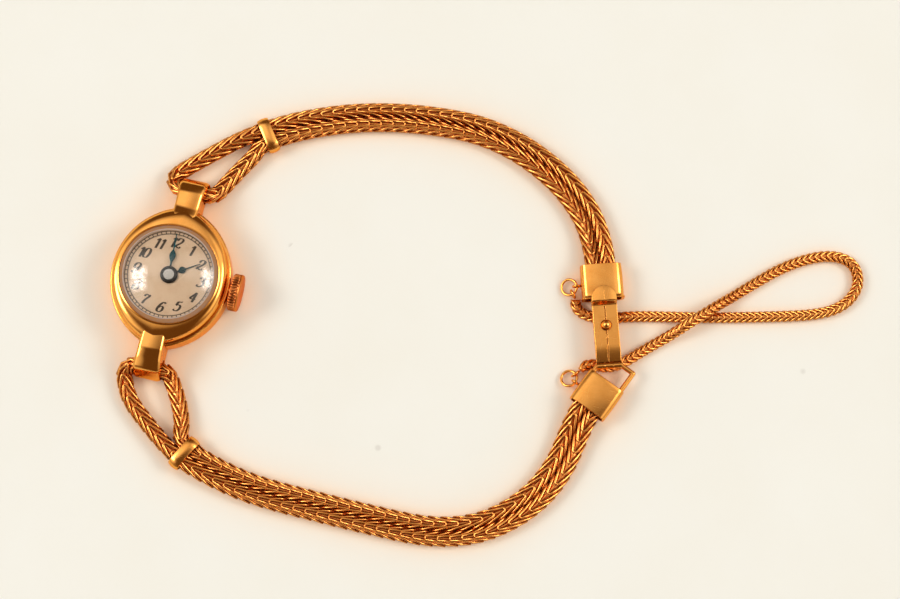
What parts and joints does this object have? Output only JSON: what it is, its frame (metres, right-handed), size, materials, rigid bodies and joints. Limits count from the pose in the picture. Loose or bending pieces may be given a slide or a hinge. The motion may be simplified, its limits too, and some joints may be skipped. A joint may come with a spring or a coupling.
{
  "type": "wristwatch",
  "caption": "Lady's gold dress watch: pointed oval case with a round domed crystal and hand-wound movement, on a bracelet of doubled woven chain with a fold-over clasp and safety chain.",
  "frame": {"origin": "middle of the flat case back, on the axis of the crystal and the hands", "axes": "+Y to 12 o'clock, +X to the crown at 3 o'clock, +Z out through the dial"},
  "size_m": [0.0884, 0.0529, 0.0069],
  "materials": {
    "gold": "polished gold",
    "rose_gold": "polished rose gold",
    "steel": "ground and polished",
    "gilt_brass": "gilt",
    "plate_metal": "nickel plated, fine grained",
    "blued_steel": "blued",
    "crystal": "clear polished",
    "dial": "satin silvered"
  },
  "bodies": {
    "case": {"case_back": "gold", "case_middle": "gold", "bezel": "gold", "crystal": "crystal", "upper_lug": "gold", "lower_lug": "gold", "crown_tube": "gold", "dial": "dial", "main_plate": "plate_metal", "barrel_bridge": "plate_metal", "train_bridge": "plate_metal", "pallet_bridge": "plate_metal", "balance_cock": "plate_metal", "bridge_screws": "steel", "hairspring": "blued_steel"},
    "upper_bracelet": {"upper_chain": "gold", "upper_keeper": "gold", "upper_end_cap": "gold", "clasp_base_leaf": "gold", "clasp_ball_stud": "gold", "clasp_hinge_pin": "steel", "upper_eyelet": "gold"},
    "clasp_leaf": {"clasp_fold_leaf": "gold"},
    "upper_ring": {"upper_jump_ring": "gold", "upper_chain_link": "gold"},
    "lower_bracelet": {"lower_chain": "gold", "lower_keeper": "gold", "lower_end_cap": "gold", "catch_loop": "gold", "lower_eyelet": "gold", "safety_chain": "gold"},
    "lower_ring": {"lower_jump_ring": "gold", "lower_chain_link": "gold"},
    "winding": {"winding_pinion": "steel"},
    "stem": {"winding_stem": "steel", "crown": "rose_gold"},
    "clutch": {"sliding_pinion": "steel"},
    "crown_wheel_group": {"crown_wheel": "steel"},
    "ratchet": {"ratchet_wheel": "steel", "barrel_arbor": "steel"},
    "lever": {"setting_lever": "steel"},
    "yoke_group": {"yoke": "steel"},
    "click_group": {"click": "steel"},
    "minute_group": {"cannon_pinion": "steel", "minute_hand": "blued_steel"},
    "minute_wheel_group": {"minute_wheel": "gilt_brass"},
    "hour_group": {"hour_wheel": "gilt_brass", "hour_hand": "blued_steel"},
    "barrel_group": {"barrel": "gilt_brass", "barrel_cover": "gilt_brass", "mainspring": "blued_steel"},
    "centre_group": {"centre_wheel": "gilt_brass"},
    "third_group": {"third_wheel": "gilt_brass"},
    "fourth_group": {"fourth_wheel": "gilt_brass"},
    "escape_group": {"escape_wheel": "steel"},
    "fork_group": {"pallet_fork": "steel"},
    "balance_group": {"balance": "gilt_brass"}
  },
  "joints": [
    {"name": "upper_swing", "type": "hinge", "parent": "case", "child": "upper_bracelet", "pos_m": [0, 0.011, 0.00175], "axis": [-1, 0, 0], "range_deg": [0, 80]},
    {"name": "clasp_fold", "type": "hinge", "parent": "upper_bracelet", "child": "clasp_leaf", "pos_m": [0.05346, 0.00145, 0.00245], "axis": [0.9563, 0.2924, 0], "range_deg": [0, 130]},
    {"name": "upper_ring_swing", "type": "hinge", "parent": "upper_bracelet", "child": "upper_ring", "pos_m": [0.04764, 0.01023, 0.00105], "axis": [-0.2924, 0.9563, 0], "range_deg": [0, 40]},
    {"name": "lower_swing", "type": "hinge", "parent": "case", "child": "lower_bracelet", "pos_m": [0, -0.011, 0.00175], "axis": [-1, 0, 0], "range_deg": [0, 80]},
    {"name": "lower_ring_swing", "type": "hinge", "parent": "lower_bracelet", "child": "lower_ring", "pos_m": [0.04998, -0.00122, 0.00105], "axis": [0.3907, 0.9205, 0], "range_deg": [0, 40]},
    {"name": "crown_turn", "type": "hinge", "parent": "case", "child": "winding", "pos_m": [0.004, 0, 0.0025], "axis": [1, 0, 0], "continuous": true},
    {"name": "crown_pull", "type": "slide", "parent": "winding", "child": "stem", "axis": [1, 0, 0], "range_m": [0, 0.0005]},
    {"name": "clutch_slide", "type": "slide", "parent": "winding", "child": "clutch", "axis": [1, 0, 0], "range_m": [-0.0002, 0]},
    {"name": "crown_wheel_turn", "type": "hinge", "parent": "case", "child": "crown_wheel_group", "pos_m": [0.00291, 0, 0.0012], "axis": [0, 0, 1], "continuous": true},
    {"name": "ratchet_turn", "type": "hinge", "parent": "case", "child": "ratchet", "pos_m": [0.00076, 0.00285, 0.0012], "axis": [0, 0, 1], "continuous": true},
    {"name": "lever_turn", "type": "hinge", "parent": "case", "child": "lever", "pos_m": [0.00525, -0.0016, 0.0038], "axis": [0, 0, 1], "range_deg": [-17.8, 0]},
    {"name": "yoke_turn", "type": "hinge", "parent": "case", "child": "yoke_group", "pos_m": [0.00337, 0.002, 0.0038], "axis": [0, 0, 1], "range_deg": [-5.8, 0]},
    {"name": "click_turn", "type": "hinge", "parent": "case", "child": "click_group", "pos_m": [-0.00216, 0.00403, 0.0012], "axis": [0, 0, 1], "range_deg": [-8, 0]},
    {"name": "minute_hand_turn", "type": "hinge", "parent": "case", "child": "minute_group", "pos_m": [0, 0, 0.0045], "axis": [0, 0, 1], "continuous": true},
    {"name": "minute_wheel_turn", "type": "hinge", "parent": "case", "child": "minute_wheel_group", "pos_m": [0.00123, -0.00086, 0.0038], "axis": [0, 0, 1], "continuous": true},
    {"name": "hour_hand_turn", "type": "hinge", "parent": "case", "child": "hour_group", "pos_m": [0, 0, 0.0045], "axis": [0, 0, 1], "continuous": true},
    {"name": "fourth_wheel_turn", "type": "hinge", "parent": "case", "child": "fourth_group", "pos_m": [-0.00131, -0.00283, 0.0025], "axis": [0, 0, 1], "continuous": true},
    {"name": "third_wheel_turn", "type": "hinge", "parent": "case", "child": "third_group", "pos_m": [-0.00244, -0.00089, 0.0025], "axis": [0, 0, 1], "continuous": true},
    {"name": "centre_wheel_turn", "type": "hinge", "parent": "case", "child": "centre_group", "pos_m": [0, 0, 0.0025], "axis": [0, 0, 1], "continuous": true},
    {"name": "barrel_turn", "type": "hinge", "parent": "case", "child": "barrel_group", "pos_m": [0.00076, 0.00285, 0.0025], "axis": [0, 0, 1], "continuous": true},
    {"name": "escape_wheel_turn", "type": "hinge", "parent": "case", "child": "escape_group", "pos_m": [0.00064, -0.00317, 0.0025], "axis": [0, 0, 1], "continuous": true},
    {"name": "pallet_swing", "type": "hinge", "parent": "case", "child": "fork_group", "pos_m": [0.00172, -0.00368, 0.0023], "axis": [0, 0, 1], "range_deg": [-5, 5]},
    {"name": "balance_swing", "type": "hinge", "parent": "case", "child": "balance_group", "pos_m": [0.00255, -0.00275, 0.0015], "axis": [0, 0, 1], "range_deg": [-150, 150]}
  ],
  "couplings": [
    {"joint": "clutch_slide", "follows": "crown_pull", "ratio": -0.4},
    {"joint": "crown_wheel_turn", "follows": "crown_turn", "ratio": 0.92857},
    {"joint": "ratchet_turn", "follows": "crown_turn", "ratio": -0.65},
    {"joint": "lever_turn", "follows": "crown_pull", "rad_per_m": -619.59},
    {"joint": "yoke_turn", "follows": "crown_pull", "rad_per_m": -200.71},
    {"joint": "minute_wheel_turn", "follows": "minute_hand_turn", "ratio": -0.33333},
    {"joint": "hour_hand_turn", "follows": "minute_hand_turn", "ratio": 0.083333},
    {"joint": "third_wheel_turn", "follows": "fourth_wheel_turn", "ratio": -0.13333},
    {"joint": "centre_wheel_turn", "follows": "fourth_wheel_turn", "ratio": 0.016667},
    {"joint": "barrel_turn", "follows": "fourth_wheel_turn", "ratio": -0.0023148},
    {"joint": "escape_wheel_turn", "follows": "fourth_wheel_turn", "ratio": -10}
  ]
}
